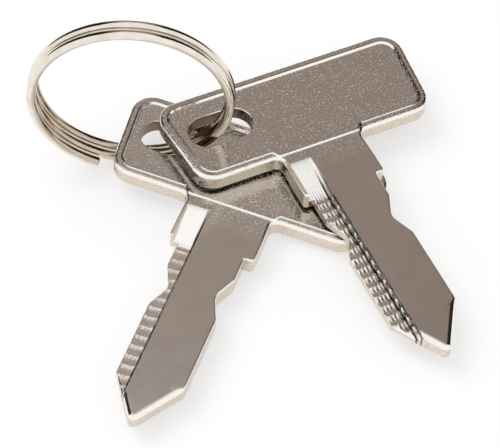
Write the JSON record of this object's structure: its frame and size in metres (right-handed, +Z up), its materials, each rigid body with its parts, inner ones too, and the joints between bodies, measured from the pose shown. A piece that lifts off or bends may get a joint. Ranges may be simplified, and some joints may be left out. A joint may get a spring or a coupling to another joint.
{
  "type": "pair of flat keys on a split ring",
  "caption": "Flat nickel-plated keys with an oblong-slotted bow and a grooved, notched blade, threaded together on a round-wire split ring.",
  "frame": {"origin": "middle of the set's bounding box, on the surface that it lies on", "axes": "+Z up from that surface, +Y from the blades' points towards the bows, +X to the right with the points towards the reader"},
  "size_m": [0.0494, 0.0554, 0.0249],
  "materials": {
    "rear_key": "nickel plated, satin with fine pits",
    "front_key": "nickel plated, satin with fine pits",
    "split_ring": "bright nickel plated wire"
  },
  "bodies": {
    "rear_key_body": {"rear_key": "rear_key"},
    "ring_body": {"split_ring": "split_ring"},
    "front_key_body": {"front_key": "front_key"}
  },
  "joints": [
    {"name": "ring_turns_in_rear_slot", "type": "hinge", "parent": "rear_key_body", "child": "ring_body", "pos_m": [-0.01249, 0.01202, 0.01282], "axis": [-0.0584, -0.9982, -0.0098], "range_deg": [0, 12]},
    {"name": "front_key_fans_on_ring", "type": "hinge", "parent": "ring_body", "child": "front_key_body", "pos_m": [-0.00374, 0.01158, 0.00533], "axis": [0.0706, -0.014, 0.9974], "range_deg": [-20, 0]}
  ]
}
